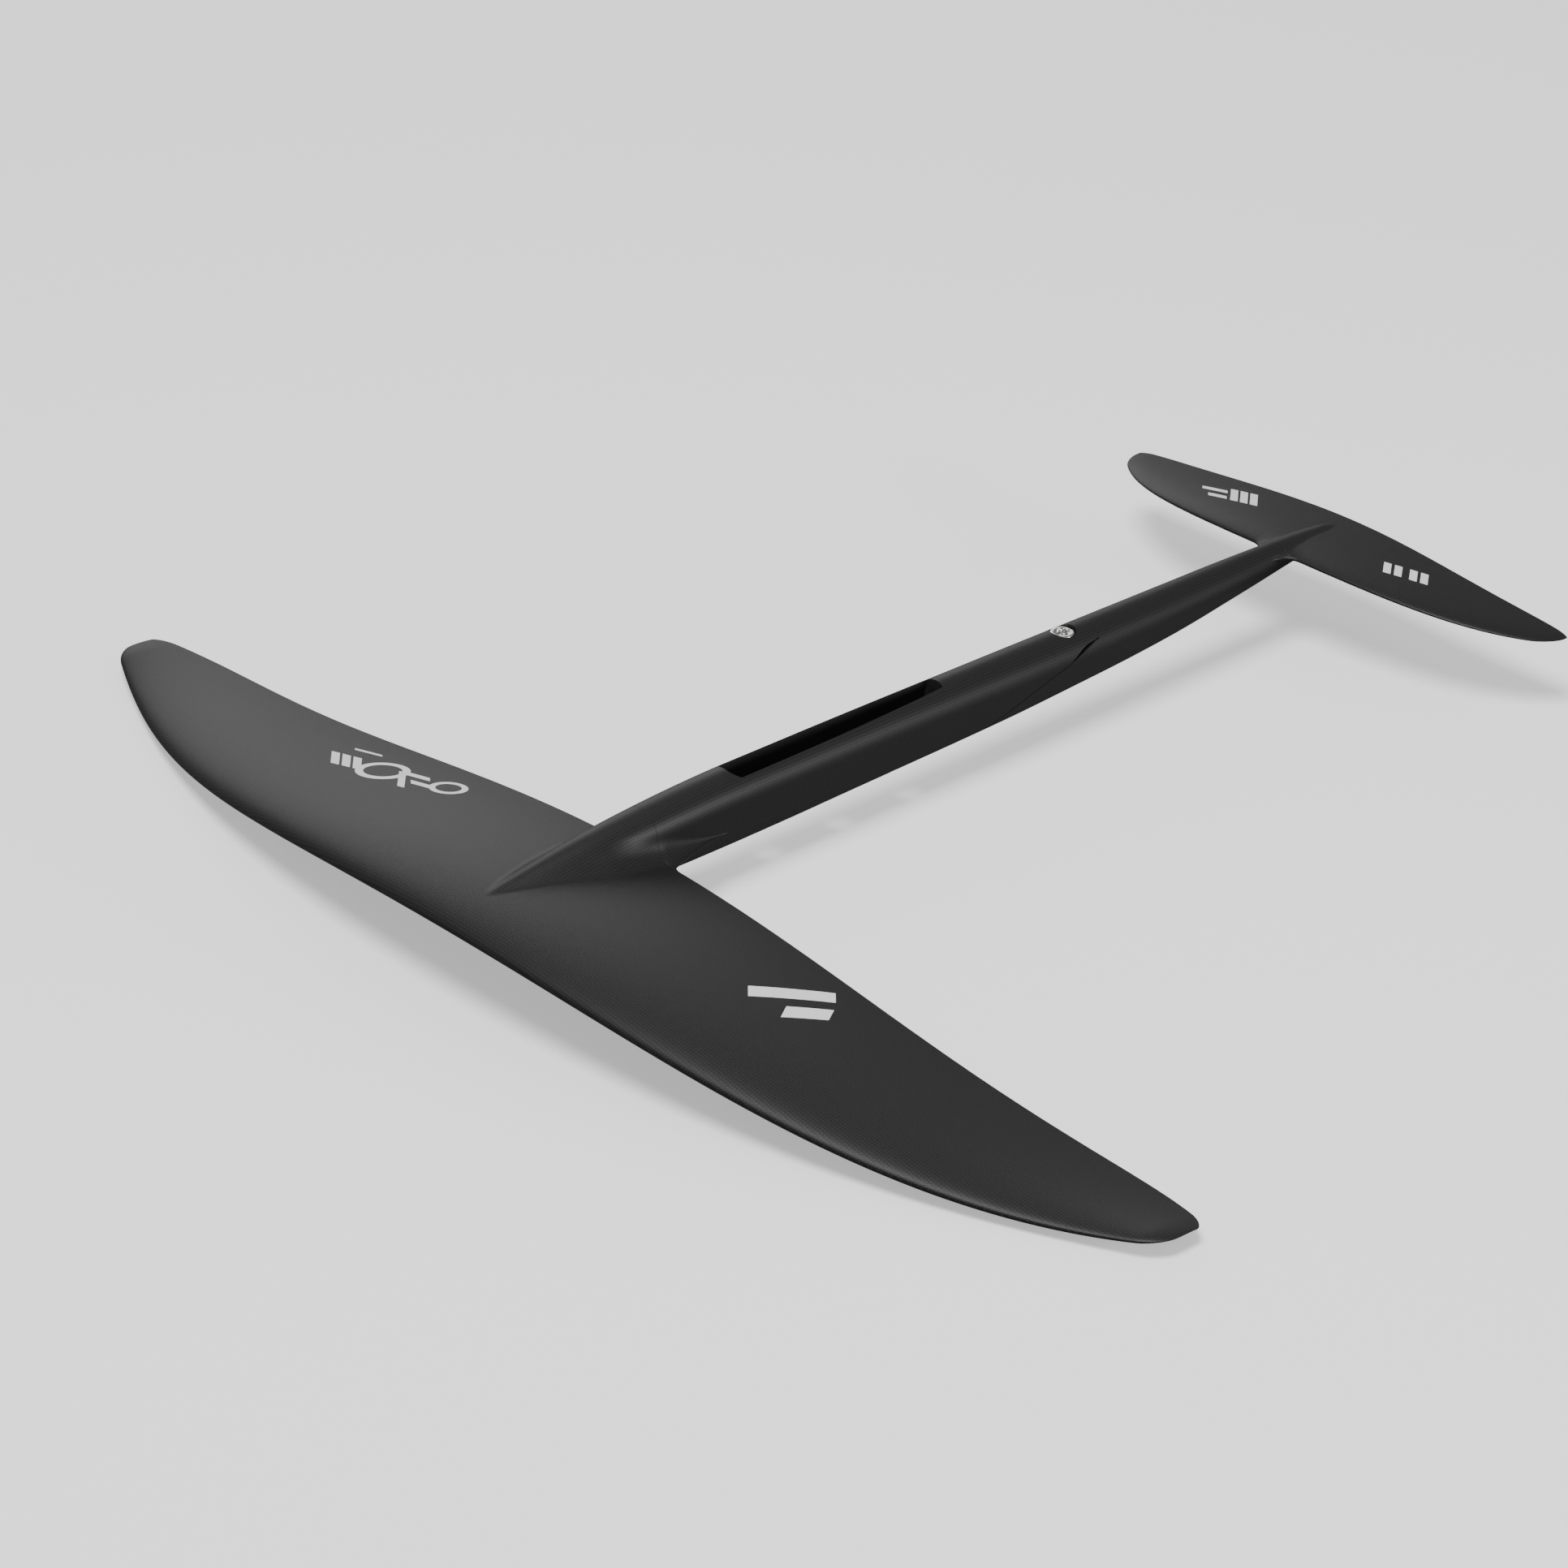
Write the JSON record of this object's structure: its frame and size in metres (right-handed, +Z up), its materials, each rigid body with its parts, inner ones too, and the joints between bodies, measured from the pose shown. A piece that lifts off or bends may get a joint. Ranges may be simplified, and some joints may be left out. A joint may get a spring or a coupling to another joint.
{
  "type": "hydrofoil wing set",
  "caption": "Carbon hydrofoil front wing with fuselage and open mast socket, and a tail wing whose fuselage joins on a sloping scarf held by one star-drive screw.",
  "frame": {"origin": "centre of the mast socket's floor, on the middle one of the mast's screw holes", "axes": "+X along the span, towards the right wing tip; +Y aft, from the front wing to the tail wing; +Z up, out of the mast socket"},
  "size_m": [0.8254, 0.6678, 0.0614],
  "materials": {
    "carbon_skin": "satin woven carbon fibre laminate",
    "carbon_block": "matt moulded carbon fibre",
    "carbon_spar": "matt unidirectional carbon fibre",
    "foam_core": "matt closed-cell foam",
    "socket_liner": "matt black carbon fibre",
    "stainless_steel": "bright stainless steel",
    "white_print": "flat white print"
  },
  "bodies": {
    "front_part": {"front_wing_upper_skin": "carbon_skin", "front_wing_lower_skin": "carbon_skin", "front_belly_skin": "carbon_skin", "front_wing_spar_cap_upper": "carbon_spar", "front_wing_spar_cap_lower": "carbon_spar", "front_wing_spar_web": "carbon_spar", "front_wing_nose_core_left": "foam_core", "front_wing_nose_core_right": "foam_core", "front_wing_aft_core_left": "foam_core", "front_wing_aft_core_right": "foam_core", "front_wing_edge_bar_left": "carbon_spar", "front_wing_edge_bar_right": "carbon_spar", "front_core_nose": "carbon_block", "front_core_floor": "carbon_block", "front_core_wall_left": "carbon_block", "front_core_wall_right": "carbon_block", "front_core_aft": "carbon_block", "mast_socket_liner": "socket_liner", "mast_screw_sleeves": "stainless_steel", "joint_screw_seat": "stainless_steel"},
    "tail_part": {"tail_upper_skin": "carbon_skin", "tail_lower_skin": "carbon_skin", "tail_spar": "carbon_spar", "tail_core_left": "foam_core", "tail_core_right": "foam_core", "tail_fuselage_core": "carbon_block", "tail_thread_insert": "stainless_steel"},
    "washer": {"joint_washer": "stainless_steel"},
    "screw": {"joint_screw": "stainless_steel"}
  },
  "joints": [
    {"name": "tail_release", "type": "slide", "parent": "front_part", "child": "tail_part", "axis": [0, 0, -1], "range_m": [0, 0.04]},
    {"name": "screw_lift", "type": "slide", "parent": "front_part", "child": "washer", "axis": [0, 0, 1], "range_m": [0, 0.026]},
    {"name": "screw_turn", "type": "hinge", "parent": "washer", "child": "screw", "pos_m": [0, 0.171, 0.02], "axis": [0, 0, 1], "range_deg": [0, 7200]}
  ],
  "couplings": [
    {"joint": "screw_lift", "follows": "screw_turn", "m_per_rad": 0.00019894}
  ]
}
